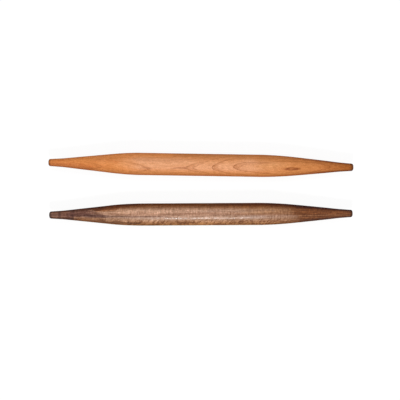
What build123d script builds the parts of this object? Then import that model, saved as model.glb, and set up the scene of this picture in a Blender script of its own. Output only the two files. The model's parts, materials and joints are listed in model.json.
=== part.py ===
from build123d import *
from math import pi
import os

# A pair of tapered rolling pins, one of cherry and one of walnut, lying side by side on a worktop.
# Each pin is one turned piece of wood with no axle, bearing or separate handle: a straight barrel,
# a long taper on each side of it, and a short, blunt grip at each end.
# Millimetres, +Z up. The origin is on the worktop, midway between the middles of the two pins.

# Overall lengths, one for each pin, because each is turned from a blank of its own
cherry_length = 520.7
walnut_length = 518.1

# The pattern that both pins are turned to
barrel_diameter = 38.1
shoulder_spacing = 252.0  # from one corner of barrel and taper to the other, before they are blended
shoulder_blend_radius = 600.0
grip_length = 24.0
grip_diameter = 15.0  # where the grip meets the taper
grip_blend_radius = 250.0
tip_diameter = 12.0  # across the end, before its edge is rounded
tip_flat_diameter = 5.6  # the flat that the rounding leaves in the middle of the end

# How the pair lies: the gap between the barrels, and each pin's turn about the vertical in degrees
pin_gap = 46.3
cherry_turn = -0.91
walnut_turn = 0.30

# Worked out from the sizes above
axis_height = barrel_diameter / 2
axis_spacing = barrel_diameter + pin_gap
tip_edge_radius = (tip_diameter - tip_flat_diameter) / 2

# The rounding of each corner of the section: tip, grip and shoulder, then the same in reverse
half_radii = [tip_edge_radius, grip_blend_radius, shoulder_blend_radius]
corner_radii = half_radii + half_radii[::-1]


def section_corners(length):
    """Corners of a pin's section above its axis, from the left end round to the right end."""
    end = length / 2
    grip_start = end - grip_length
    shoulder = shoulder_spacing / 2
    right_half = [
        (shoulder, barrel_diameter / 2),
        (grip_start, grip_diameter / 2),
        (end, tip_diameter / 2),
        (end, 0),
    ]
    left_half = [(-along, across) for along, across in reversed(right_half)]
    return left_half + right_half


def lying_plane(side, turn):
    """Upright plane through a lying pin's axis: side is +1 or -1 for the pin at +Y or -Y."""
    along = Vector(1, 0, 0).rotate(Axis.Z, turn)
    across = Vector(0, -1, 0).rotate(Axis.Z, turn)
    return Plane(origin=(0, side * axis_spacing / 2, axis_height), x_dir=along, z_dir=across)


os.makedirs("parts", exist_ok=True)

# Cherry pin, the one at +Y
cherry_plane = lying_plane(1, cherry_turn)
with BuildPart() as cherry_pin:
    with BuildSketch(cherry_plane):
        with BuildLine():
            cherry_outline = FilletPolyline(*section_corners(cherry_length), radius=corner_radii)
            Line(cherry_outline @ 1, cherry_outline @ 0)
        make_face()
    revolve(axis=Axis(cherry_plane.origin, cherry_plane.x_dir))
cherry_pin.part.label = "cherry_pin"
export_step(cherry_pin.part, "parts/cherry_pin.step")

# Walnut pin, the one at -Y
walnut_plane = lying_plane(-1, walnut_turn)
with BuildPart() as walnut_pin:
    with BuildSketch(walnut_plane):
        with BuildLine():
            walnut_outline = FilletPolyline(*section_corners(walnut_length), radius=corner_radii)
            Line(walnut_outline @ 1, walnut_outline @ 0)
        make_face()
    revolve(axis=Axis(walnut_plane.origin, walnut_plane.x_dir))
walnut_pin.part.label = "walnut_pin"
export_step(walnut_pin.part, "parts/walnut_pin.step")

# What a cradle, sleeve or spacer ring meets: the straight stretch of each barrel, between its blends
for pin in (cherry_pin, walnut_pin):
    barrel = pin.faces().filter_by(GeomType.CYLINDER).sort_by(SortBy.AREA)[-1]
    print(pin.part.label, "straight for", round(barrel.area / (pi * barrel_diameter), 2), "mm")
print("least gap", round(cherry_pin.part.distance_to(walnut_pin.part), 2), "mm")
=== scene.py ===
import json
from math import atan2, cos, hypot, pi, radians, sin, tan

import bmesh
import bpy
import numpy as np
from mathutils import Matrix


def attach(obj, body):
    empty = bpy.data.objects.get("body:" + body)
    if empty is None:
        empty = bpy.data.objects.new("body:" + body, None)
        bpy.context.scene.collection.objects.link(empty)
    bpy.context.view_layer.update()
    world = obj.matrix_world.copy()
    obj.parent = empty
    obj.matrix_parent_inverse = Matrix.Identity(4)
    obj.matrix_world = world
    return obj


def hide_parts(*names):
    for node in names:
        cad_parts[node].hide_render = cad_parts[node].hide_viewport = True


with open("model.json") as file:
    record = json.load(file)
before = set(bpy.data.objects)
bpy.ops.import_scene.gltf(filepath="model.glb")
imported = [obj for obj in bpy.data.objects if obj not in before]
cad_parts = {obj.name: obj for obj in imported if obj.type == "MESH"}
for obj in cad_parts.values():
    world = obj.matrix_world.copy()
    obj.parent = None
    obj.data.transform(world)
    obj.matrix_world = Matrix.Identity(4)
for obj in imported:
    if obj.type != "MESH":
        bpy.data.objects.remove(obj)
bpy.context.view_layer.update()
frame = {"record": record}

# A pair of tapered rolling pins, one of cherry and one of walnut, lying side by side on a worktop.
# Sizes are in millimetres, as in the CAD. Meshes, lamps and the camera are written in metres.
# The camera looks straight down, with +X to the right and +Y up the picture.
MM = 0.001

# The pattern that both pins are turned to
BARREL_RADIUS = 19.05
SHOULDER = 126.0  # from the middle to the corner of barrel and taper, before it is blended
SHOULDER_BLEND = 600.0
GRIP_LENGTH = 24.0
GRIP_RADIUS = 7.5
GRIP_BLEND = 250.0
TIP_RADIUS = 6.0
TIP_FLAT_RADIUS = 2.8
TIP_BLEND = TIP_RADIUS - TIP_FLAT_RADIUS

# Overall lengths
CHERRY_LENGTH = 520.7
WALNUT_LENGTH = 518.1

# How finely a skin is divided: faces round it, steps along straight runs, rings in each kind of blend, and
# the distance below which two points are one
FACES_ROUND = 96
RUN_STEP = 2.0
BLEND_RINGS = {TIP_BLEND: 14, GRIP_BLEND: 8, SHOULDER_BLEND: 32}
SAME_POINT = 0.001

# The map that a skin brings for baking: strips that it is cut into, and the margin round each strip
MAP_STRIPS = 4
MAP_MARGIN = 0.02

# What hand turning left: bells of (middle, half width, height) that one pin alone has, and slow waves of
# (wave length, depth, shift) that both have
CHERRY_SWELLS = [(200.0, 60.0, 0.6), (-110.0, 25.0, 0.25)]
WALNUT_SWELLS = [(205.0, 50.0, 0.5), (-140.0, 30.0, 0.15)]
TURNING_WAVES = [(61.0, 0.05, 0.4), (23.0, 0.03, 2.1), (9.0, 0.012, 4.4)]


# Where each pin lies

def pin_place(mount_name):
    """Middle of a pin in millimetres and the angle of its axis about the vertical, from its barrel mount."""
    mount = next(m for m in frame["record"]["mounts"] if m["name"] == mount_name)
    middle = np.array(mount["pos_m"]) / MM
    return middle, atan2(mount["axis"][1], mount["axis"][0])


# Meshes

def turned_outline(length):
    """Half section of a pin from tip to tip: rows of distance along the axis and distance from it.

    Each corner is rounded by an arc that is tangent to its two runs. The arc starts ahead of the corner by
    its radius times the tangent of half the turn, and its points are that start turned about its centre.
    """
    right_half = [
        (SHOULDER, BARREL_RADIUS),
        (length / 2 - GRIP_LENGTH, GRIP_RADIUS),
        (length / 2, TIP_RADIUS),
        (length / 2, 0),
    ]
    left_half = [(-along, out) for along, out in reversed(right_half)]
    corners = np.array(left_half + right_half)
    blends = [TIP_BLEND, GRIP_BLEND, SHOULDER_BLEND]
    blends += blends[::-1]
    stretches = []
    reached = corners[0]
    for before, corner, after, blend in zip(corners, corners[1:], corners[2:], blends):
        way_in = (corner - before) / hypot(*(corner - before))
        way_out = (after - corner) / hypot(*(after - corner))
        turn = atan2(way_in[0] * way_out[1] - way_in[1] * way_out[0], way_in @ way_out)
        start = corner - way_in * blend * tan(abs(turn) / 2)
        centre = start + np.sign(turn) * blend * np.array([-way_in[1], way_in[0]])
        swept = np.linspace(0, turn, BLEND_RINGS[blend])[:, None]
        spoke = start - centre
        arc = centre + spoke * np.cos(swept) + np.array([-spoke[1], spoke[0]]) * np.sin(swept)
        stretches += [straight_run(reached, start), arc[:-1]]
        reached = arc[-1]
    stretches += [straight_run(reached, corners[-1]), corners[-1:]]
    return np.concatenate(stretches)


def straight_run(start, end):
    """Points from start towards end, about one step apart, without the end itself."""
    steps = max(2, round(hypot(*(end - start)) / RUN_STEP))
    return np.linspace(start, end, steps, endpoint=False)


def hand_turning(along, swells):
    """Change of radius that turning by hand left: a sum of smooth bells, less waves that only take wood."""
    change = 0.0
    for middle, half_width, height in swells:
        change += height * np.exp(-((along - middle) / half_width) ** 2)
    for wave_length, depth, shift in TURNING_WAVES:
        change -= depth * (1 + np.sin(2 * pi * along / wave_length + shift)) / 2
    return change


def unrolled_map(outline):
    """Map for baking: two numbers for each corner of each face, face by face.

    The first is the way over the outline and the second the way round, both as shares. The skin is cut
    across into strips of equal length, which lie two by two in the unit square.
    """
    way = np.concatenate([[0], np.cumsum(np.hypot(*np.diff(outline, axis=0).T))])
    way *= MAP_STRIPS / way[-1]
    strip = np.minimum((way[:-1] + way[1:]) // 2, MAP_STRIPS - 1)
    near, far = way[:-1] - strip, way[1:] - strip
    low = np.arange(FACES_ROUND) / FACES_ROUND
    high = low + 1 / FACES_ROUND
    first = np.stack([near, near, far, far], axis=-1)[:, None, :]
    second = np.stack([low, high, high, low], axis=-1)[None, :, :]
    shares = np.stack(np.broadcast_arrays(first, second), axis=-1)
    cell = np.stack([strip % 2, strip // 2], axis=-1)[:, None, None, :]
    return (cell + MAP_MARGIN + (1 - 2 * MAP_MARGIN) * shares) / 2


def turned_pin(name, length, swells, middle, direction):
    """Skin of a turned pin in its place.

    A point is the middle of the pin, plus the outline's first number along the axis, plus its second
    number along a spoke, and the spokes stand at equal angles round the axis. The second number has what
    hand turning left added, in proportion to it below the tip's radius, and stays within the barrel's.
    """
    outline = turned_outline(length)
    along, out = outline.T
    out = out + hand_turning(along, swells) * np.clip(out / TIP_RADIUS, 0, 1)
    out = np.minimum(out, BARREL_RADIUS)
    axis = np.array([cos(direction), sin(direction), 0])
    across = np.array([-sin(direction), cos(direction), 0])
    up = np.array([0, 0, 1])
    angle = 2 * pi * np.arange(FACES_ROUND)[:, None] / FACES_ROUND
    spokes = np.cos(angle) * across + np.sin(angle) * up
    points = middle + along[:, None, None] * axis + out[:, None, None] * spokes

    ring = np.arange(len(outline) - 1)[:, None] * FACES_ROUND
    here = np.arange(FACES_ROUND)[None, :]
    following = (here + 1) % FACES_ROUND
    corners = [ring + here, ring + following, ring + FACES_ROUND + following, ring + FACES_ROUND + here]
    faces = np.stack(corners, axis=-1).reshape(-1, 4)

    mesh = bpy.data.meshes.new(name)
    mesh.from_pydata((points.reshape(-1, 3) * MM).tolist(), [], faces.tolist())
    mesh.uv_layers.new(name="OFBake").data.foreach_set("uv", unrolled_map(outline).ravel())
    close_poles(mesh)
    mesh.shade_smooth()
    piece = bpy.data.objects.new(name, mesh)
    bpy.context.scene.collection.objects.link(piece)
    return piece


def close_poles(mesh):
    """Merges the points of the first and the last ring, which all lie on the axis, into one at each end."""
    shell = bmesh.new()
    shell.from_mesh(mesh)
    bmesh.ops.remove_doubles(shell, verts=shell.verts, dist=SAME_POINT * MM)
    shell.to_mesh(mesh)
    shell.free()


# Shader wiring

PATTERN_LOW = -0.45  # a pattern of -1 to 1 counts as low up to here
PATTERN_HIGH = 0.45  # and as high from here on


def seen(red, green, blue):
    """A colour as the eye reads it from a screen, 0 to 255, made linear for the shader.

    It follows the usual curve of screens: a straight run next to black, and a power of 2.4 above it.
    """
    shares = [level / 255 for level in (red, green, blue)]
    linear = [share / 12.92 if share <= 0.04045 else ((share + 0.055) / 1.055) ** 2.4 for share in shares]
    return (*linear, 1)


class Wiring:
    """Adds nodes to one shader tree, feeding each input with a socket or with a plain value."""

    def __init__(self, tree):
        self.tree = tree

    def node(self, kind, feeds=None, **settings):
        """A new node of a kind. Feeds go by the names or the numbers of its inputs."""
        made = self.tree.nodes.new(kind)
        for name, value in settings.items():
            setattr(made, name, value)
        for key, value in (feeds or {}).items():
            if isinstance(value, bpy.types.NodeSocket):
                self.tree.links.new(value, made.inputs[key])
            else:
                made.inputs[key].default_value = value
        return made

    def effect(self, name, place, **feeds):
        """What a shared effect puts out. Its other inputs are fed by name: pith_aside is Pith Aside."""
        named = {key.replace("_", " ").title(): value for key, value in feeds.items()}
        return self.node("ShaderNodeGroup", {"Place": place, **named}, node_tree=EFFECTS[name]).outputs

    def put_out(self, made, values):
        """Feeds the outputs of the effect that is being made."""
        for label, value in values.items():
            self.tree.links.new(value, made[label])

    def maths(self, operation, *values):
        """One step of arithmetic, such as MULTIPLY_ADD: the first times the second, plus the third."""
        return self.node("ShaderNodeMath", dict(enumerate(values)), operation=operation).outputs[0]

    def times(self, first, second):
        """The product of two numbers."""
        return self.maths("MULTIPLY", first, second)

    def eased(self, value, start, end, before=0, after=1):
        """Before up to start, after from end on, and a smooth change between. Start may be the larger."""
        feeds = {"Value": value, "From Min": start, "From Max": end, "To Min": before, "To Max": after}
        return self.node("ShaderNodeMapRange", feeds, interpolation_type="SMOOTHSTEP").outputs[0]

    def mixed(self, share, first, second, blend="MIX"):
        """The first where the share is 0. Where it is 1, the second, or the product of both by MULTIPLY."""
        feeds = {0: share, 6: first, 7: second}
        return self.node("ShaderNodeMix", feeds, data_type="RGBA", blend_type=blend).outputs[2]

    def share_of_way(self, value, first, last):
        """How far the value has come from first to last, 0 to 1."""
        feeds = {"Value": value, "From Min": first, "From Max": last}
        return self.node("ShaderNodeMapRange", feeds).outputs[0]

    def ramp(self, value, stops):
        """A colour that changes with a value, through stops of (value, colour)."""
        first, last = stops[0][0], stops[-1][0]
        band = self.node("ShaderNodeValToRGB", {"Fac": self.share_of_way(value, first, last)})
        elements = band.color_ramp.elements
        while len(elements) < len(stops):
            elements.new(1)
        for element, (place, colour) in zip(elements, stops):
            element.position = (place - first) / (last - first)
            element.color = colour
        return band.outputs[0]

    def stained(self, colour, share, stain):
        """The colour, times the stain where the share is 1."""
        return self.mixed(share, colour, (*stain, 1), "MULTIPLY")

    def toned(self, colour, pattern, tones):
        """The colour, times the first tone where the pattern is low and the second where it is high."""
        low, high = tones
        tone = self.mixed(self.eased(pattern, PATTERN_LOW, PATTERN_HIGH), (*low, 1), (*high, 1))
        return self.mixed(1, colour, tone, "MULTIPLY")

    def parts(self, vector):
        """The three numbers of a vector."""
        return self.node("ShaderNodeSeparateXYZ", {0: vector}).outputs

    def vector(self, first, second, third):
        """A vector of three numbers."""
        return self.node("ShaderNodeCombineXYZ", {0: first, 1: second, 2: third}).outputs[0]

    def stretched(self, place, length, width):
        """The place in units that are one length along the pin and one width across it."""
        unit = self.vector(length, width, width)
        return self.node("ShaderNodeVectorMath", {0: place, 1: unit}, operation="DIVIDE").outputs[0]

    def noise(self, place, length, width, detail=2):
        """Noise from about -1 to 1, with blobs one length long and one width across."""
        feeds = {"Vector": self.stretched(place, length, width), "Scale": 1, "Detail": detail}
        fac = self.node("ShaderNodeTexNoise", feeds).outputs[0]
        return self.maths("MULTIPLY_ADD", fac, 2, -1)

    def noise_in_line(self, number):
        """Noise from 0 to 1 that goes by one number alone, with blobs about one unit long."""
        feeds = {"W": number, "Scale": 1, "Detail": 2}
        return self.node("ShaderNodeTexNoise", feeds, noise_dimensions="1D").outputs[0]

    def distance(self, across, up):
        """The root of the sum of two squares."""
        square = self.maths("MULTIPLY_ADD", across, across, self.times(up, up))
        return self.maths("SQRT", square)

    def curve(self, along, points):
        """A smooth curve along the pin through points of (millimetres from the middle, value)."""
        places, values = zip(*points)
        first, last = min(places), max(places)
        lowest, highest = min(values), max(values)
        bend = self.node("ShaderNodeFloatCurve", {"Value": self.share_of_way(along, first, last)})
        line = bend.mapping.curves[0]
        while len(line.points) < len(points):
            line.points.new(0.5, 0.5)
        for spot, (place, value) in zip(line.points, sorted(points)):
            spot.location = ((place - first) / (last - first), (value - lowest) / (highest - lowest))
            spot.handle_type = "AUTO_CLAMPED"
        bend.mapping.update()
        return self.maths("MULTIPLY_ADD", bend.outputs[0], highest - lowest, lowest)


def new_effect(name, inputs, outputs):
    """An empty shader group: its wiring, the sockets to read and the sockets to feed."""
    tree = bpy.data.node_groups.new(name, "ShaderNodeTree")
    tree.interface.new_socket(name="Place", in_out="INPUT", socket_type="NodeSocketVector")
    for label, usual in inputs.items():
        socket = tree.interface.new_socket(name=label, in_out="INPUT", socket_type="NodeSocketFloat")
        socket.default_value = usual
    for label in outputs:
        tree.interface.new_socket(name=label, in_out="OUTPUT", socket_type="NodeSocketFloat")
    wiring = Wiring(tree)
    return wiring, wiring.node("NodeGroupInput").outputs, wiring.node("NodeGroupOutput").inputs


# Effects that both woods use. Place is in a pin's own millimetres: along it, across it and up.

FALSE_LINE = 0.2  # how far into the year a false ring line lies
SHADES_A_YEAR = 6  # how often the shade changes between two ring lines
LEAN_FROM = 7.0  # how far towards -Y the bands of the curl start to lean, in millimetres

# The wood is matte on its sides and below: how far a spot faces up where that starts and where it is full
MATTE_SIDE = (0.85, 0.37)


def growth_rings():
    """Yearly rings: shells round the pith, numbered outwards from it.

    Line is 1 where a year starts and False Line marks a weaker one soon after. Early Wood fades from 1 to 0
    after the line. Band is a change of shade, about -1 to 1, that is the same all over a shell.
    """
    inputs = {
        "Pith Aside": 0, "Pith Below": 60, "Ring Width": 4, "Wander": 0, "Waviness": 0.03,
        "Line Width": 0.05, "Early Share": 0.4,
    }
    w, given, made = new_effect("growth_rings", inputs, ["Line", "False Line", "Early Wood", "Band"])
    place = given["Place"]
    _, across, up = w.parts(place)
    aside = w.maths("SUBTRACT", across, given["Pith Aside"])
    above = w.maths("ADD", up, given["Pith Below"])
    distance = w.distance(aside, above)
    bends = w.maths("ADD", w.noise(place, length=5, width=1.4), w.noise(place, length=40, width=10))
    number = w.maths("ADD", w.maths("DIVIDE", distance, given["Ring Width"]), given["Wander"])
    number = w.maths("MULTIPLY_ADD", bends, given["Waviness"], number)
    since_start = w.maths("FRACT", number)
    to_line = w.maths("MINIMUM", since_start, w.maths("SUBTRACT", 1, since_start))
    to_false_line = w.maths("ABSOLUTE", w.maths("SUBTRACT", since_start, FALSE_LINE))
    feathered = w.eased(w.noise(place, length=6, width=0.9), -0.5, 0.15, before=0.45)
    broken = w.eased(w.noise(place, length=9, width=1.6), -0.1, 0.3)
    band = w.noise_in_line(w.times(number, SHADES_A_YEAR))
    w.put_out(made, {
        "Line": w.times(w.eased(to_line, given["Line Width"], 0), feathered),
        "False Line": w.times(w.eased(to_false_line, given["Line Width"], 0), broken),
        "Early Wood": w.times(w.eased(since_start, given["Early Share"], 0), feathered),
        "Band": w.maths("MULTIPLY_ADD", band, 2, -1),
    })
    return w.tree


def fibres():
    """Streaks of lighter and darker fibres along the grain, from about -1 to 1."""
    w, given, made = new_effect("fibres", {"Length": 60, "Width": 2}, ["Streak"])
    w.put_out(made, {"Streak": w.noise(given["Place"], given["Length"], given["Width"], detail=3)})
    return w.tree


def pores():
    """Open pores: short dashes along the grain, which are dots on the end grain. 1 inside a pore."""
    w, given, made = new_effect("pores", {"Length": 10, "Spacing": 1.0, "Share": 0.2}, ["Pore"])
    place = w.stretched(given["Place"], given["Length"], given["Spacing"])
    nearest = w.node("ShaderNodeTexVoronoi", {"Vector": place, "Scale": 1}).outputs[0]
    w.put_out(made, {"Pore": w.eased(nearest, given["Share"], w.times(given["Share"], 0.5))})
    return w.tree


def curl():
    """Curly figure: short bands across the grain, where the fibres tip towards the light or away, -1 to 1.

    It is noise in cells, each one Spacing long and one Reach across, that waver a little. They stand
    straight round the top and lean by Slant where the surface turns down towards -Y.
    """
    inputs = {"Spacing": 3.5, "Reach": 8, "Slant": 0.6}
    w, given, made = new_effect("curl", inputs, ["Curl"])
    along, across, up = w.parts(given["Place"])
    past_top = w.maths("MINIMUM", w.maths("ADD", across, LEAN_FROM), 0)
    lean = w.times(past_top, given["Slant"])
    most = w.times(given["Spacing"], 0.8)
    waver = w.times(w.noise(given["Place"], length=25, width=9), most)
    place = w.vector(w.maths("ADD", w.maths("SUBTRACT", along, lean), waver), across, up)
    w.put_out(made, {"Curl": w.noise(place, given["Spacing"], given["Reach"])})
    return w.tree


def turning_marks():
    """Fine rings that sanding on the lathe left, 0 to 1. They run round the pin."""
    w, given, made = new_effect("turning_marks", {"Spacing": 0.7}, ["Mark"])
    along, _, _ = w.parts(given["Place"])
    w.put_out(made, {"Mark": w.noise_in_line(w.maths("DIVIDE", along, given["Spacing"]))})
    return w.tree


def soaked_and_shaded_ends():
    """1 on the end grain, darker by the oil it soaks up and by painted shade round the tips, falling to 0 at
    a ragged depth from the end.
    """
    w, given, made = new_effect("soaked_and_shaded_ends", {"Half Length": 260, "Depth": 8}, ["Soak And Shade"])
    along, _, _ = w.parts(given["Place"])
    from_end = w.maths("SUBTRACT", given["Half Length"], w.maths("ABSOLUTE", along))
    most = w.times(given["Depth"], 0.35)
    ragged = w.maths("MULTIPLY_ADD", w.noise(given["Place"], length=3, width=1.2), most, from_end)
    w.put_out(made, {"Soak And Shade": w.eased(ragged, given["Depth"], 0)})
    return w.tree


def way_round():
    """Facing is how far a spot faces +Y, -1 to 1. Matte is 0 on top, and 1 on the sides and below.

    Facing is the way towards +Y over the distance from the axis, or over the tip's radius where that is
    more. Matte goes by the way up over the same. Roll Slope undoes the roll of the figure in both.
    """
    w, given, made = new_effect("way_round", {"Roll Slope": 0}, ["Facing", "Matte"])
    _, across, up = w.parts(given["Place"])
    radius = w.maths("MAXIMUM", w.distance(across, up), TIP_RADIUS)
    towards_side = w.maths("SUBTRACT", across, w.times(up, given["Roll Slope"]))
    towards_sky = w.maths("MULTIPLY_ADD", across, given["Roll Slope"], up)
    w.put_out(made, {
        "Facing": w.maths("DIVIDE", towards_side, radius),
        "Matte": w.eased(w.maths("DIVIDE", towards_sky, radius), *MATTE_SIDE),
    })
    return w.tree


EFFECT_MAKERS = (growth_rings, fibres, pores, curl, turning_marks, soaked_and_shaded_ends, way_round)
EFFECTS = {make.__name__: make() for make in EFFECT_MAKERS}


# Woods

RELIEF_DEPTH = 0.02  # what a height of 1 raises the surface by, in millimetres


def wood(name, middle, direction, roll):
    """A new material: its wiring, the place in the pin's own millimetres, and its three parts."""
    material = bpy.data.materials.new(name)
    material.use_nodes = True
    material.node_tree.nodes.clear()
    w = Wiring(material.node_tree)
    feeds = {
        "Vector": w.node("ShaderNodeTexCoord").outputs["Object"],
        "Location": middle * MM,
        "Rotation": (roll, 0, direction),
        "Scale": (MM, MM, MM),
    }
    place = w.node("ShaderNodeMapping", feeds, vector_type="TEXTURE").outputs[0]
    return material, w, place, w.parts(place)


def finish_wood(w, colour, roughness, gloss, height):
    """The shader of oiled wood, with its surface raised by height times RELIEF_DEPTH."""
    feeds = {"Strength": 1, "Distance": RELIEF_DEPTH * MM, "Height": height}
    bump = w.node("ShaderNodeBump", feeds).outputs[0]
    feeds = {"Base Color": colour, "Roughness": roughness, "Normal": bump, "Specular IOR Level": gloss}
    shader = w.node("ShaderNodeBsdfPrincipled", feeds)
    w.node("ShaderNodeOutputMaterial", {"Surface": shader.outputs[0]})


# Cherry. A list of pairs is a curve through (millimetres from the middle of the pin, value), unless its
# comment says otherwise.

CHERRY_ROLL = radians(15)  # the crown of its figure leans this much towards -Y
CHERRY_PITH_BELOW = 60.0
CHERRY_RING_WIDTH = 4.2
CHERRY_GLOSS = 0.14  # oiled wood mirrors less than varnish
CHERRY_ROUGHNESS = 0.48
CHERRY_SOAK_AND_SHADE_DEPTH = 5.0  # how deep the darker end grain and the painted shade round the tips reach into the left end, and into the right end
CHERRY_SOAK_AND_SHADE_DEPTH_RIGHT = 9.0
CHERRY_MARK_HEIGHT = 0.4  # of turning marks, where a pore is 1 deep

# How far aside the pith lies, towards +Y, so that the crown wanders
CHERRY_PITH_ASIDE = [
    (-260, 4.0), (-171, 10.0), (-95, 13.6), (-36, 5.2), (19, 0.0), (55, -6.0), (111, 0.0), (157, 3.0),
    (204, -12.0), (260, -14.0),
]

# Ring number on the crown. An arch or an eye of the figure lies where it passes a whole number.
CHERRY_CROWN_RINGS = [
    (-260, 2.7), (-207, 2.5), (-171, 2.05), (-139, 1.75), (-115.3, 1.42), (-102.2, 1.2), (-91.3, 1.0),
    (-72.3, 0.82), (-54, 0.91), (-47, 0.97), (-38, 0.99), (-29, 1.0), (-24, 1.02), (-14, 1.18), (-1, 1.36),
    (10, 1.6), (19, 2.0), (34, 2.35), (42, 2.62), (55, 3.0), (77, 3.28), (111, 3.5), (129, 3.86),
    (137, 3.96), (144, 3.992), (154, 4.028), (164, 3.992), (171, 3.965), (180, 3.87), (194, 3.5),
    (209, 3.2), (238, 2.75), (260, 2.3),
]

# How strongly the ring lines show
CHERRY_LINE_STRENGTH = [
    (-260, 0.3), (-200, 0.3), (-175, 0.5), (-150, 0.35), (-125, 0.35), (-100, 0.7), (-60, 0.6), (-36, 0.8),
    (-15, 0.65), (10, 0.8), (55, 0.9), (90, 0.75), (120, 0.8), (142, 1.0), (172, 1.0), (200, 0.8), (260, 0.3),
]

CHERRY_LINE_FADE = (3, 14)  # how far across the pin they start to fade, and are faintest

# How much the ring lines waver
CHERRY_WAVINESS = [
    (-260, 0.03), (-70, 0.03), (-50, 0.012), (-30, 0.012), (0, 0.03), (110, 0.03), (140, 0.01), (175, 0.01),
    (260, 0.03),
]

# The colour of the wood by height above the axis, across the tilted layers of growth. It is the wood's own
# tone, and also a painted sheen that makes it paler towards the crown
CHERRY_LAYERS_AND_SHEEN = [
    (-19, seen(182, 102, 48)), (0, seen(200, 118, 58)), (6.8, seen(212, 131, 70)), (11, seen(219, 140, 78)),
    (14.2, seen(224, 148, 88)), (16.4, seen(230, 155, 98)), (19.05, seen(231, 164, 114)),
]

# How far the layers of colour lean back from the rings, as a slope
CHERRY_LAYER_LEAN = [(-260, 0.5), (-200, 0.42), (-120, 0.3), (-60, 0.25), (260, 0.25)]

# How far the wood is warmer in the left taper
CHERRY_WARMTH = [(-260, 0.4), (-215, 0.5), (-190, 1.0), (-130, 1.0), (-95, 0.0), (260, 0.0)]

# How far it is golden all round, and how far in a strip along the upper +Y side alone
CHERRY_GOLD = [
    (-260, 0.0), (-170, 0.0), (-150, 0.5), (-130, 0.2), (-100, 0.0), (80, 0.0), (115, 0.9), (165, 0.7),
    (200, 0.2), (260, 0.0),
]
CHERRY_GOLD_ABOVE = [
    (-260, 0.0), (-60, 0.0), (-5, 0.4), (30, 0.55), (65, 0.35), (90, 0.0), (260, 0.0),
]
CHERRY_GOLD_ABOVE_AT = 0.35  # how far a spot faces +Y in the middle of that strip
CHERRY_GOLD_ABOVE_REACH = (0.4, 0.1)  # how far off the middle it starts, and is full

# How far it darkens towards the right end
CHERRY_DARK_END = [
    (-260, 0.1), (-230, 0.0), (140, 0.0), (165, 0.1), (187, 0.18), (205, 0.3), (225, 0.58), (260, 0.95),
]

# How far it is redder in streaks
CHERRY_BLUSH = [(-260, 1.0), (-140, 1.0), (-110, 0.4), (260, 0.3)]

# How much paler it is on the +Y side, and how much painted shade darkens it low on both sides
CHERRY_PALE_SIDE = [
    (-260, 0.2), (-195, 0.5), (-165, 0.8), (-140, 0.9), (-60, 0.9), (-25, 0.3), (0, 0.3), (260, 0.3),
]
CHERRY_PAINTED_SIDE_SHADE = [
    (-260, 0.25), (-190, 0.1), (-150, 0.0), (-50, 0.0), (0, 0.1), (110, 0.05), (150, 0.2), (185, 0.5),
    (230, 1.0), (260, 1.0),
]
CHERRY_LEFT_GRIP = (-170, -215)  # where the sides of the left grip start to differ, and where they do fully

# How far a spot faces either side, or +Y for the pale side, where a change starts and where it is over
CHERRY_BORDERS = {
    "warmth": (0.85, 0.5),
    "gold": (0.45, 0.75),
    "painted_side_shade": (0.6, 1),
    "very side": (1, 0.88),
    "pale side": (0.5, 0.75),
}

# What the colour is multiplied by where a pattern is low, and where it is high
CHERRY_TONES = {
    "band": ((0.95, 0.92, 0.89), (1.04, 1.05, 1.07)),
    "streak": ((0.92, 0.88, 0.82), (1.05, 1.07, 1.1)),
    "blotch": ((0.96, 0.94, 0.92), (1.05, 1.07, 1.1)),
    "fine streak": ((0.89, 0.84, 0.78), (1.08, 1.11, 1.14)),
    "speckle": ((0.86, 0.82, 0.78), (1.09, 1.12, 1.15)),
    "sides of the left grip": ((0.88, 0.87, 1.0), (1.14, 1.2, 1.3)),
}

# What the colour is multiplied by where a mark is full
CHERRY_STAINS = {
    "blush": (0.93, 0.78, 0.66),
    "early wood": (0.72, 0.62, 0.52),
    "ring line": (0.5, 0.36, 0.24),
    "false ring line": (0.66, 0.55, 0.48),
    "pore": (0.55, 0.45, 0.4),
    "fleck": (0.4, 0.32, 0.3),
    "warmth": (1.01, 0.92, 0.76),
    "gold": (0.88, 0.8, 0.6),
    "gold above": (0.95, 0.84, 0.62),
    "dark end": (0.55, 0.46, 0.22),
    "painted_side_shade": (0.4, 0.25, 0.12),
    "pale side": (1.32, 1.25, 1.15),
    "soaked and shaded end": (0.24, 0.2, 0.16),
}


def crown_radius(along, length, swells):
    """Radius of a pin at a place along it: the outline's and what hand turning left, within the barrel's."""
    outline = turned_outline(length)
    radius = np.interp(along, outline[:, 0], outline[:, 1]) + hand_turning(along, swells)
    return min(radius, BARREL_RADIUS)


def cherry_wander():
    """What to add to the ring number along the pin, so that the crown's rings come as listed.

    It is the listed number, less the crown's distance from the pith in ring widths.
    """
    points = []
    for along, number in CHERRY_CROWN_RINGS:
        aside = float(np.interp(along, *zip(*CHERRY_PITH_ASIDE)))
        distance = crown_radius(along, CHERRY_LENGTH, CHERRY_SWELLS) + hypot(aside, CHERRY_PITH_BELOW)
        points.append((along, number - distance / CHERRY_RING_WIDTH))
    return points


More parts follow.
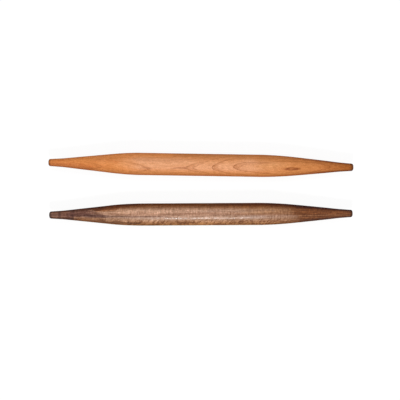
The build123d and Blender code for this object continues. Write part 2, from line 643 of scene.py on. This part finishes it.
def cherry_wood(middle, direction):
    """Cherry: deep orange below and at the ends, pinkish tan on the crown, with thin brown ring lines."""
    material, w, place, (along, across, up) = wood("oiled_cherry", middle, direction, CHERRY_ROLL)
    line, false_line, early, band = w.effect(
        "growth_rings", place, pith_aside=w.curve(along, CHERRY_PITH_ASIDE),
        pith_below=CHERRY_PITH_BELOW, ring_width=CHERRY_RING_WIDTH, wander=w.curve(along, cherry_wander()),
        waviness=w.curve(along, CHERRY_WAVINESS), line_width=0.04, early_share=0.35,
    )
    streak, = w.effect("fibres", place, length=18, width=1.5)
    fine_streak, = w.effect("fibres", place, length=5, width=0.9)
    speckle, = w.effect("fibres", place, length=1.8, width=1.2)
    blotch, = w.effect("curl", place, spacing=8, reach=4, slant=0.2)
    blush, = w.effect("fibres", place, length=26, width=3.2)
    pore, = w.effect("pores", place, length=6, spacing=0.8, share=0.16)
    fleck, = w.effect("pores", place, length=9, spacing=4, share=0.07)
    mark, = w.effect("turning_marks", place)
    end_depth = w.eased(along, -200, 200, CHERRY_SOAK_AND_SHADE_DEPTH, CHERRY_SOAK_AND_SHADE_DEPTH_RIGHT)
    soak_and_shade, = w.effect("soaked_and_shaded_ends", place, half_length=CHERRY_LENGTH / 2, depth=end_depth)
    facing, matte = w.effect("way_round", place, roll_slope=tan(CHERRY_ROLL))
    aside = w.maths("ABSOLUTE", facing)

    # Layers of growth, with a painted sheen on the crown, then fibres and specks
    height = w.maths("MULTIPLY_ADD", across, w.curve(along, CHERRY_LAYER_LEAN), up)
    colour = w.ramp(height, CHERRY_LAYERS_AND_SHEEN)
    patterns = {
        "band": band, "streak": streak, "blotch": blotch, "fine streak": fine_streak, "speckle": speckle,
    }
    for name, pattern in patterns.items():
        colour = w.toned(colour, pattern, CHERRY_TONES[name])
    blushing = w.times(w.eased(blush, 0.05, 0.5), w.curve(along, CHERRY_BLUSH))
    colour = w.stained(colour, blushing, CHERRY_STAINS["blush"])

    # Ring lines, fainter down the sides, then pores and flecks
    fainter = w.eased(w.maths("ABSOLUTE", across), *CHERRY_LINE_FADE, before=1, after=0.65)
    strength = w.times(w.curve(along, CHERRY_LINE_STRENGTH), fainter)
    colour = w.stained(colour, w.times(early, strength), CHERRY_STAINS["early wood"])
    colour = w.stained(colour, w.times(line, strength), CHERRY_STAINS["ring line"])
    colour = w.stained(colour, w.times(false_line, strength), CHERRY_STAINS["false ring line"])
    colour = w.stained(colour, w.times(pore, 0.4), CHERRY_STAINS["pore"])
    colour = w.stained(colour, w.times(fleck, 0.8), CHERRY_STAINS["fleck"])

    # Broad changes along the pin
    warm = w.times(w.eased(aside, *CHERRY_BORDERS["warmth"]), w.curve(along, CHERRY_WARMTH))
    colour = w.stained(colour, warm, CHERRY_STAINS["warmth"])
    golden = w.eased(aside, *CHERRY_BORDERS["gold"], before=1, after=0.4)
    golden = w.times(golden, w.curve(along, CHERRY_GOLD))
    colour = w.stained(colour, golden, CHERRY_STAINS["gold"])
    off_gold = w.maths("ABSOLUTE", w.maths("SUBTRACT", facing, CHERRY_GOLD_ABOVE_AT))
    golden_above = w.times(w.eased(off_gold, *CHERRY_GOLD_ABOVE_REACH), w.curve(along, CHERRY_GOLD_ABOVE))
    colour = w.stained(colour, golden_above, CHERRY_STAINS["gold above"])
    colour = w.stained(colour, w.curve(along, CHERRY_DARK_END), CHERRY_STAINS["dark end"])

    # The sides, with painted shade low on both, and the end grain, darker by its oil and by painted shade
    # round the tips
    painted_side_shade = w.times(w.eased(aside, *CHERRY_BORDERS["painted_side_shade"]), w.curve(along, CHERRY_PAINTED_SIDE_SHADE))
    painted_side_shade = w.times(painted_side_shade, w.eased(aside, *CHERRY_BORDERS["very side"], before=0.5))
    colour = w.stained(colour, painted_side_shade, CHERRY_STAINS["painted_side_shade"])
    pale_side = w.times(w.eased(facing, *CHERRY_BORDERS["pale side"]), w.curve(along, CHERRY_PALE_SIDE))
    colour = w.stained(colour, pale_side, CHERRY_STAINS["pale side"])
    at_left = w.times(facing, w.eased(along, *CHERRY_LEFT_GRIP))
    colour = w.toned(colour, at_left, CHERRY_TONES["sides of the left grip"])
    colour = w.stained(colour, w.times(soak_and_shade, 0.9), CHERRY_STAINS["soaked and shaded end"])

    roughness = w.maths("MAXIMUM", w.maths("MULTIPLY_ADD", streak, 0.06, CHERRY_ROUGHNESS), matte)
    relief = w.maths("MULTIPLY_ADD", mark, CHERRY_MARK_HEIGHT, w.times(pore, -1))
    finish_wood(w, colour, roughness, CHERRY_GLOSS, relief)
    return material


# Walnut, with its curves as for cherry

WALNUT_PITH_ASIDE = 110.0
WALNUT_PITH_BELOW = 12.0
WALNUT_RING_WIDTH = 6.5
WALNUT_GLOSS = 0.18  # this oil is a little glossier
WALNUT_POLISH = (0.4, 0.17)  # roughness where the surface glints least, and most
# how deep the darker end grain and the painted shade round the tips reach
WALNUT_SOAK_AND_SHADE_DEPTH = 8.0
WALNUT_MARK_HEIGHT = 0.3  # of turning marks, where a pore is 1 deep
WALNUT_CURL_HEIGHT = 1.8
WALNUT_FIBRE_HEIGHT = 1.2

# How far towards -Y the grain lies from the axis
WALNUT_GRAIN_DRIFT = [
    (-259, -1.0), (-215, 0.1), (-190, 1.2), (-172, 2.0), (-160, 2.9), (-121, 3.5), (-61, 3.9), (40, 4.5),
    (160, 3.5), (259, 2.0),
]

# The colour of the wood round the pin, by how far a spot faces +Y: -1 to 1. From -0.6 to -0.2, beside the
# highlight, it is paler and whiter partly as a painted sheen
WALNUT_SIDES_AND_SHEEN = [
    (-1, seen(178, 130, 84)), (-0.81, seen(171, 116, 70)), (-0.72, seen(178, 124, 84)),
    (-0.6, seen(191, 142, 108)), (-0.5, seen(195, 150, 119)), (-0.4, seen(196, 153, 125)),
    (-0.2, seen(195, 156, 133)), (-0.09, seen(193, 152, 128)), (0, seen(192, 146, 120)),
    (0.2, seen(201, 156, 128)), (0.42, seen(206, 160, 129)), (0.54, seen(187, 138, 105)),
    (0.63, seen(169, 117, 80)), (0.72, seen(152, 100, 62)), (0.83, seen(112, 62, 27)), (1, seen(126, 76, 42)),
]

# How far the dark edge at +Y draws back towards the side
WALNUT_EDGE_SHIFT = [
    (-259, 0.06), (-235, 0.06), (-218, 0.16), (-195, 0.16), (-178, 0.05), (-110, 0.03), (-70, 0.05),
    (-30, 0.05), (0, 0.02), (30, 0.0), (75, 0.0), (105, 0.04), (145, 0.04), (180, 0.01), (259, 0.0),
]

# The dark tongue of heartwood that runs in from the left end: its half width, and how strongly it shows
WALNUT_TONGUE_WIDTH = [
    (-259, 2.0), (-222, 2.0), (-200, 2.4), (-190, 3.2), (-172, 3.2), (-158, 2.4), (-140, 1.3), (259, 0.8),
]
WALNUT_TONGUE_STRENGTH = [
    (-259, 0.1), (-225, 0.3), (-205, 0.5), (-190, 0.8), (-172, 1.0), (-155, 0.7), (-60, 0.5), (-40, 0.0),
    (259, 0.0),
]

# Where the dark left end starts and is full, at -Y and from the crown to +Y, and where it fades a little
WALNUT_LEFT_BELOW = (-202, -224)
WALNUT_LEFT_ABOVE = (-155, -198)
WALNUT_LEFT_FADE = (-222, -250)

# How far the border of the dark left end runs out in fingers along the fibres, how far clouds shift the
# borders of both dark ends, and how far the curl frays the left one at -Y
WALNUT_FINGERS = 16.0
WALNUT_CLOUDING = 12.0
WALNUT_FRAYING = 10.0

# Two dark bars across the left end, how much paler the wood is between them, and how much deeper the tan is
# below the dark left end
WALNUT_BARS = [
    (-250, 0.0), (-244, 0.0), (-240.8, 1.0), (-237.5, 0.0), (-223, 0.0), (-218.4, 1.0), (-213.5, 0.0),
    (-205, 0.0),
]
WALNUT_BETWEEN_BARS = [(-259, 0.0), (-240, 0.0), (-234, 1.0), (-228, 0.9), (-222, 0.0), (259, 0.0)]
WALNUT_TAN = [
    (-259, 0.0), (-232, 0.0), (-210, 0.9), (-188, 0.9), (-165, 0.3), (-150, 0.0), (259, 0.0),
]

# How strongly a second dark edge shows at -Y, partly a dark streak in the wood and partly painted shade along
# the sides of the tapers and grips
WALNUT_LOW_EDGE_AND_SHADE = [
    (-259, 1.0), (-235, 1.0), (-205, 0.2), (-190, 0.3), (-172, 0.9), (-138, 0.85), (-100, 0.2), (-80, 0.0),
    (140, 0.0), (165, 0.2), (190, 0.7), (259, 0.8),
]

# How strongly the dark edge at +Y deepens, partly in the wood and partly as painted shade along the sides of
# the tapers, and how much further round it reaches
WALNUT_HIGH_EDGE_AND_SHADE = [
    (-259, 0.4), (-215, 0.0), (-198, 0.2), (-180, 0.9), (-150, 0.8), (-110, 0.5), (-70, 0.0), (60, 0.2),
    (90, 0.45), (140, 0.85), (190, 1.0), (259, 1.0),
]
WALNUT_HIGH_REACH = [
    (-259, 0.0), (-195, 0.0), (-178, 0.3), (-158, 0.36), (-138, 0.15), (-118, 0.0), (259, 0.0),
]

# How far the darker heartwood of the right end shows. It starts further on at -Y, by the lag.
WALNUT_RIGHT = [
    (-259, 0.0), (20, 0.0), (70, 0.12), (120, 0.32), (146, 0.5), (156, 0.7), (168, 1.0), (259, 1.0),
]
WALNUT_RIGHT_LAG = 6.0

# How golden the wood is at +Y, how strongly a paler streak shows towards the right end, partly in the wood
# and partly as a painted highlight, and how strongly a paler band shows in the left half
WALNUT_GOLD = [(-259, 0.0), (30, 0.0), (80, 0.7), (115, 1.0), (170, 1.0), (210, 0.5), (259, 0.3)]
WALNUT_PALE_STREAK_AND_HIGHLIGHT = [
    (-259, 0.0), (55, 0.0), (80, 0.6), (105, 0.5), (135, 0.1), (160, 0.2), (175, 0.65), (200, 0.45),
    (240, 0.2), (259, 0.0),
]
WALNUT_PALE_BAND = [
    (-259, 0.0), (-175, 0.0), (-150, 0.4), (-125, 1.0), (-95, 1.0), (-45, 0.4), (0, 0.0), (259, 0.0),
]
WALNUT_PALE_BAND_AT = 0.22  # how far a spot faces +Y in the middle of that band
WALNUT_PALE_BAND_REACH = (0.22, 0.05)  # how far off the middle it starts, and is full

# How strongly the dark slashes show low at -Y
WALNUT_SLASHES = [(-259, 0.2), (-155, 0.2), (-120, 1.0), (125, 1.0), (160, 0.2), (259, 0.2)]

# How far a spot faces +Y where a change starts and where it is over
WALNUT_BORDERS = {
    "edge shift": (0.3, 0.6),
    "left end": (-0.62, 0.08),
    "tan": (-0.2, -0.42),
    "bar": (0.95, 0.6),
    "very low side": (-1, -0.8),
    "high edge and painted shade": (0.6, 0.95),
    "very high side": (1, 0.85),
    "lag": (0, -0.3),
    "gold": (-0.25, 0.2),
    "slashes": (-0.3, -0.65),
}

# Tones and stains as for cherry
WALNUT_TONES = {
    "band": ((0.76, 0.73, 0.69), (0.93, 0.94, 0.95)),
    "streak": ((0.78, 0.73, 0.68), (1.12, 1.15, 1.18)),
    "cloud": ((0.95, 0.935, 0.92), (1.05, 1.065, 1.075)),
    "patch": ((0.92, 0.9, 0.88), (1.27, 1.28, 1.3)),
    "curl": ((0.82, 0.78, 0.74), (1.15, 1.19, 1.23)),
    "ribs": ((0.76, 0.71, 0.66), (1.17, 1.21, 1.25)),
    "speckle": ((0.82, 0.79, 0.76), (1.15, 1.18, 1.21)),
    "fine streak": ((0.85, 0.81, 0.77), (1.11, 1.14, 1.16)),
    "streak in the tapers": ((0.76, 0.68, 0.62), (1.14, 1.2, 1.26)),
}
WALNUT_STAINS = {
    "tongue": (0.33, 0.27, 0.29),
    "left end": (0.4, 0.31, 0.35),
    "between the bars": (1.25, 1.25, 1.2),
    "tan": (0.84, 0.75, 0.66),
    "low edge and painted shade": (0.32, 0.24, 0.2),
    "high edge and painted shade": (0.58, 0.33, 0.12),
    "right end": (0.42, 0.26, 0.14),
    "gold": (0.97, 0.9, 0.72),
    "bar": (0.6, 0.52, 0.52),
    "pale streak and painted highlight": (1.35, 1.6, 2.0),
    "pale band": (1.35, 1.38, 1.4),
    "among the slashes": (1.32, 1.39, 1.46),
    "slash": (0.5, 0.4, 0.3),
    "early wood": (0.7, 0.65, 0.6),
    "ring line": (0.5, 0.45, 0.42),
    "pore": (0.4, 0.35, 0.32),
    "soaked and shaded end": (0.16, 0.13, 0.14),
}


def walnut_wood(middle, direction):
    """Walnut: grey brown with darker streaks along the grain, curly figure across it, and dark ends."""
    material, w, place, (along, across, _) = wood("oiled_walnut", middle, direction, 0)
    drift = w.curve(along, WALNUT_GRAIN_DRIFT)
    line, _, early, band = w.effect(
        "growth_rings", place, pith_aside=WALNUT_PITH_ASIDE, pith_below=WALNUT_PITH_BELOW,
        ring_width=WALNUT_RING_WIDTH, wander=w.maths("DIVIDE", drift, -WALNUT_RING_WIDTH), waviness=0.1,
        line_width=0.06, early_share=0.35,
    )
    streak, = w.effect("fibres", place, length=40, width=1.8)
    fine_streak, = w.effect("fibres", place, length=9, width=0.9)
    patch, = w.effect("fibres", place, length=55, width=5)
    speckle, = w.effect("fibres", place, length=1.5, width=1.2)
    curled, = w.effect("curl", place, spacing=2.4, reach=5, slant=0.7)
    ribs, = w.effect("curl", place, spacing=2.8, reach=24, slant=0.7)
    slashes, = w.effect("curl", place, spacing=8, reach=20, slant=0.8)
    cloud, = w.effect("curl", place, spacing=14, reach=6, slant=0.3)
    glint, = w.effect("curl", place, spacing=4, reach=2.5, slant=0.3)
    pore, = w.effect("pores", place, length=8, spacing=1.1, share=0.2)
    mark, = w.effect("turning_marks", place)
    half_length = WALNUT_LENGTH / 2
    soak_and_shade, = w.effect("soaked_and_shaded_ends", place, half_length=half_length, depth=WALNUT_SOAK_AND_SHADE_DEPTH)
    facing, matte = w.effect("way_round", place)

    # The colour round the pin, with a painted sheen beside the highlight and borders that waver along the
    # fibres
    wavering = w.maths("MULTIPLY_ADD", streak, 0.12, w.maths("MULTIPLY_ADD", patch, 0.08, facing))
    edge_shift = w.times(w.eased(facing, *WALNUT_BORDERS["edge shift"]), w.curve(along, WALNUT_EDGE_SHIFT))
    colour = w.ramp(w.maths("SUBTRACT", wavering, edge_shift), WALNUT_SIDES_AND_SHEEN)

    # The dark tongue
    off_tongue = w.maths("ABSOLUTE", w.maths("MULTIPLY_ADD", streak, 1.2, w.maths("ADD", across, drift)))
    tongue = w.eased(w.maths("DIVIDE", off_tongue, w.curve(along, WALNUT_TONGUE_WIDTH)), 1.3, 0.5)
    tongue = w.times(tongue, w.curve(along, WALNUT_TONGUE_STRENGTH))
    colour = w.stained(colour, tongue, WALNUT_STAINS["tongue"])

    # The dark left end, in fingers that follow the fibres
    fingered = w.maths("MULTIPLY_ADD", streak, WALNUT_FINGERS, along)
    frayed = w.maths("MULTIPLY_ADD", curled, WALNUT_FRAYING, fingered)
    clouded = w.maths("MULTIPLY_ADD", cloud, WALNUT_CLOUDING, fingered)
    above = w.eased(facing, *WALNUT_BORDERS["left end"])
    left = w.mixed(above, w.eased(frayed, *WALNUT_LEFT_BELOW), w.eased(clouded, *WALNUT_LEFT_ABOVE))
    left = w.times(left, w.eased(along, *WALNUT_LEFT_FADE, before=1, after=0.78))
    colour = w.stained(colour, left, WALNUT_STAINS["left end"])
    colour = w.stained(colour, w.curve(along, WALNUT_BETWEEN_BARS), WALNUT_STAINS["between the bars"])
    tanned = w.times(w.eased(facing, *WALNUT_BORDERS["tan"]), w.curve(along, WALNUT_TAN))
    colour = w.stained(colour, tanned, WALNUT_STAINS["tan"])
    bars = w.curve(w.maths("MULTIPLY_ADD", curled, 1.5, along), WALNUT_BARS)
    bars = w.times(bars, w.eased(w.maths("ABSOLUTE", facing), *WALNUT_BORDERS["bar"]))
    colour = w.stained(colour, bars, WALNUT_STAINS["bar"])

    # The dark edges, partly dark wood and partly painted shade, which ease off again at the very side
    low_start = w.eased(along, 140, 175, before=-0.5, after=-0.42)
    low_edge_and_shade = w.times(w.eased(wavering, low_start, -0.85), w.curve(fingered, WALNUT_LOW_EDGE_AND_SHADE))
    low_edge_and_shade = w.times(low_edge_and_shade, w.eased(facing, *WALNUT_BORDERS["very low side"], before=0.4))
    colour = w.stained(colour, low_edge_and_shade, WALNUT_STAINS["low edge and painted shade"])
    reaching = w.maths("ADD", wavering, w.curve(along, WALNUT_HIGH_REACH))
    high_edge_and_shade = w.times(w.eased(reaching, *WALNUT_BORDERS["high edge and painted shade"]), w.curve(along, WALNUT_HIGH_EDGE_AND_SHADE))
    high_edge_and_shade = w.times(high_edge_and_shade, w.eased(facing, *WALNUT_BORDERS["very high side"], before=0.5))
    colour = w.stained(colour, high_edge_and_shade, WALNUT_STAINS["high edge and painted shade"])

    # The darker right end, with its gold and its paler streak, which is partly a painted highlight
    lag = w.eased(facing, *WALNUT_BORDERS["lag"], after=WALNUT_RIGHT_LAG)
    reached = w.maths("SUBTRACT", w.maths("MULTIPLY_ADD", cloud, WALNUT_CLOUDING, along), lag)
    colour = w.stained(colour, w.curve(reached, WALNUT_RIGHT), WALNUT_STAINS["right end"])
    gold = w.times(w.eased(facing, *WALNUT_BORDERS["gold"]), w.curve(along, WALNUT_GOLD))
    colour = w.stained(colour, gold, WALNUT_STAINS["gold"])
    off_streak = w.maths("ABSOLUTE", w.maths("ADD", fine_streak, w.maths("ADD", across, drift)))
    pale_reach = w.eased(along, 120, 170, before=3.2, after=1.8)
    pale_and_highlight = w.times(w.eased(off_streak, pale_reach, 0.3), w.curve(along, WALNUT_PALE_STREAK_AND_HIGHLIGHT))
    colour = w.stained(colour, pale_and_highlight, WALNUT_STAINS["pale streak and painted highlight"])

    # The paler band of the left half
    off_band = w.maths("ABSOLUTE", w.maths("SUBTRACT", wavering, WALNUT_PALE_BAND_AT))
    pale_band = w.eased(off_band, *WALNUT_PALE_BAND_REACH)
    pale_band = w.times(pale_band, w.curve(along, WALNUT_PALE_BAND))
    colour = w.stained(colour, pale_band, WALNUT_STAINS["pale band"])

    # Rings, fibres and curly figure
    patchy_ribs = w.times(ribs, w.eased(cloud, -0.3, 0.4))
    in_tapers = w.times(streak, w.eased(w.maths("ABSOLUTE", along), 130, 180))
    patterns = {
        "band": band, "streak": streak, "cloud": cloud, "patch": patch, "curl": curled, "ribs": patchy_ribs,
        "speckle": speckle, "streak in the tapers": in_tapers,
    }
    for name, pattern in patterns.items():
        colour = w.toned(colour, pattern, WALNUT_TONES[name])

    # Dark slashes on paler wood low at -Y, where the finest fibres are calmer
    low = w.eased(facing, *WALNUT_BORDERS["slashes"])
    slashed = w.times(low, w.curve(along, WALNUT_SLASHES))
    slash = w.times(w.eased(w.maths("ABSOLUTE", slashes), 0.16, 0.02), slashed)
    colour = w.stained(colour, slashed, WALNUT_STAINS["among the slashes"])
    colour = w.stained(colour, slash, WALNUT_STAINS["slash"])
    calmer_below = w.times(fine_streak, w.maths("MULTIPLY_ADD", low, -0.6, 1))
    colour = w.toned(colour, calmer_below, WALNUT_TONES["fine streak"])

    # Ring lines, pores, and end grain that is darker by its oil and by painted shade round the tips
    colour = w.stained(colour, w.times(early, 0.3), WALNUT_STAINS["early wood"])
    colour = w.stained(colour, w.times(line, 0.6), WALNUT_STAINS["ring line"])
    colour = w.stained(colour, w.times(pore, 0.5), WALNUT_STAINS["pore"])
    colour = w.stained(colour, w.times(soak_and_shade, 0.9), WALNUT_STAINS["soaked and shaded end"])

    roughness = w.maths("MULTIPLY_ADD", curled, 0.12, w.eased(glint, -0.25, 0.25, *WALNUT_POLISH))
    roughness = w.maths("MAXIMUM", w.maths("MULTIPLY_ADD", pore, 0.15, roughness), matte)
    relief = w.maths("MULTIPLY_ADD", mark, WALNUT_MARK_HEIGHT, w.times(pore, -1))
    relief = w.maths("MULTIPLY_ADD", w.maths("ADD", curled, patchy_ribs), WALNUT_CURL_HEIGHT, relief)
    relief = w.maths("MULTIPLY_ADD", fine_streak, WALNUT_FIBRE_HEIGHT, relief)
    finish_wood(w, colour, roughness, WALNUT_GLOSS, relief)
    return material


def dress(piece, material, body, node):
    """Gives a piece its finish and says what it stands for."""
    piece.data.materials.append(material)
    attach(piece, body)
    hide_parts(node)


cherry_place = pin_place("cherry_barrel")
cherry = turned_pin("turned_cherry_pin", CHERRY_LENGTH, CHERRY_SWELLS, *cherry_place)
dress(cherry, cherry_wood(*cherry_place), "cherry_pin_body", "cherry_pin")

walnut_place = pin_place("walnut_barrel")
walnut = turned_pin("turned_walnut_pin", WALNUT_LENGTH, WALNUT_SWELLS, *walnut_place)
dress(walnut, walnut_wood(*walnut_place), "walnut_pin_body", "walnut_pin")


# Floor and light

FLOOR_SIZE = 8.0  # metres
FLOOR_SHADE = 0.16  # what the floor gives back of the light that falls on it
FLOOR_GLOW = 0.89  # what a look at the floor adds, so that it comes out white
FAR_GLOW = 0.955  # the same far out, where the lamps hardly reach
NEAR_FLOOR = 0.45  # how far out the first of the two holds, in metres
FAR_FLOOR = 2.3  # how far out the second starts
FILL = 0.27  # the light from all round
LAMP_DISTANCE = 1.5  # metres from the middle of the pair

# The two lamps: a small bright one that draws the highlights, and a large soft one from the other side
NEAR_SOFTBOX = {"lean": radians(-42), "side": 0.24, "brightness": 72.0}
FAR_SOFTBOX = {"lean": radians(31), "side": 0.8, "brightness": 4.3}


def direct_look(w):
    """1 for what the camera sees, straight, mirrored or through glass, and 0 for light on the object."""
    path = w.node("ShaderNodeLightPath").outputs
    mirrored = w.maths("MAXIMUM", path["Is Camera Ray"], path["Is Glossy Ray"])
    return w.maths("MAXIMUM", mirrored, path["Is Transmission Ray"])


def white_floor():
    """A pale floor that shows white, with the soft shadow of the pins on it."""
    bpy.ops.mesh.primitive_plane_add(size=FLOOR_SIZE)
    floor = bpy.context.object
    floor.name = "floor"
    material = bpy.data.materials.new("pale_floor")
    material.use_nodes = True
    material.node_tree.nodes.clear()
    w = Wiring(material.node_tree)
    place = w.node("ShaderNodeTexCoord").outputs["Object"]
    out = w.node("ShaderNodeVectorMath", {0: place}, operation="LENGTH").outputs["Value"]
    glow = w.eased(out, NEAR_FLOOR, FAR_FLOOR, FLOOR_GLOW, FAR_GLOW)
    feeds = {
        "Base Color": (FLOOR_SHADE, FLOOR_SHADE, FLOOR_SHADE, 1),
        "Roughness": 1,
        "Specular IOR Level": 0,
        "Emission Color": (1, 1, 1, 1),
        "Emission Strength": w.times(direct_look(w), glow),
    }
    shader = w.node("ShaderNodeBsdfPrincipled", feeds).outputs[0]
    w.node("ShaderNodeOutputMaterial", {"Surface": shader})
    floor.data.materials.append(material)


def white_surroundings():
    """White all round to look at, and a low even light on the pins."""
    world = bpy.data.worlds.new("surroundings")
    world.use_nodes = True
    world.node_tree.nodes.clear()
    w = Wiring(world.node_tree)
    strength = w.maths("MULTIPLY_ADD", direct_look(w), 1 - FILL, FILL)
    light = w.node("ShaderNodeBackground", {"Color": (1, 1, 1, 1), "Strength": strength}).outputs[0]
    w.node("ShaderNodeOutputWorld", {"Surface": light})
    bpy.context.scene.world = world


def softbox(name, lean, side, brightness):
    """A square lamp that faces the middle of the pair, leaning from the vertical towards +Y.

    Its power is its brightness times pi times its area.
    """
    lamp = bpy.data.lights.new(name, "AREA")
    lamp.shape = "SQUARE"
    lamp.size = side
    lamp.energy = brightness * pi * side * side
    stand = bpy.data.objects.new(name, lamp)
    stand.location = (0, LAMP_DISTANCE * sin(lean), LAMP_DISTANCE * cos(lean))
    stand.rotation_euler = (-lean, 0, 0)
    stand.visible_camera = False
    bpy.context.scene.collection.objects.link(stand)


white_floor()
white_surroundings()
softbox("near_softbox", **NEAR_SOFTBOX)
softbox("far_softbox", **FAR_SOFTBOX)


# Camera: straight above, as the photograph was taken, with the pair a little above the middle of the frame

FRAME_PIXELS = 400
PIXEL = 1.7106  # millimetres that one pixel shows, on the pins' axes
PAIR_MIDDLE = (200.9, 189.57)  # the pixel at which the photograph shows the middle of the pair
CAMERA_HEIGHT = 1400.0  # above the pins' axes
SENSOR = 36.0  # width of the camera's sensor
VIEW_LIMIT = 20.0  # metres from the camera


def camera_above():
    """A camera that looks straight down, with the pair where the photograph shows it."""
    lens = bpy.data.cameras.new("camera")
    lens.sensor_width = SENSOR
    lens.lens = SENSOR * CAMERA_HEIGHT / (FRAME_PIXELS * PIXEL)
    lens.clip_end = VIEW_LIMIT
    camera = bpy.data.objects.new("camera", lens)
    off_x = (FRAME_PIXELS / 2 - PAIR_MIDDLE[0]) * PIXEL
    off_y = (PAIR_MIDDLE[1] - FRAME_PIXELS / 2) * PIXEL
    camera.location = (off_x * MM, off_y * MM, (BARREL_RADIUS + CAMERA_HEIGHT) * MM)
    bpy.context.scene.collection.objects.link(camera)
    bpy.context.scene.camera = camera


camera_above()
bpy.context.scene.view_settings.view_transform = "Standard"
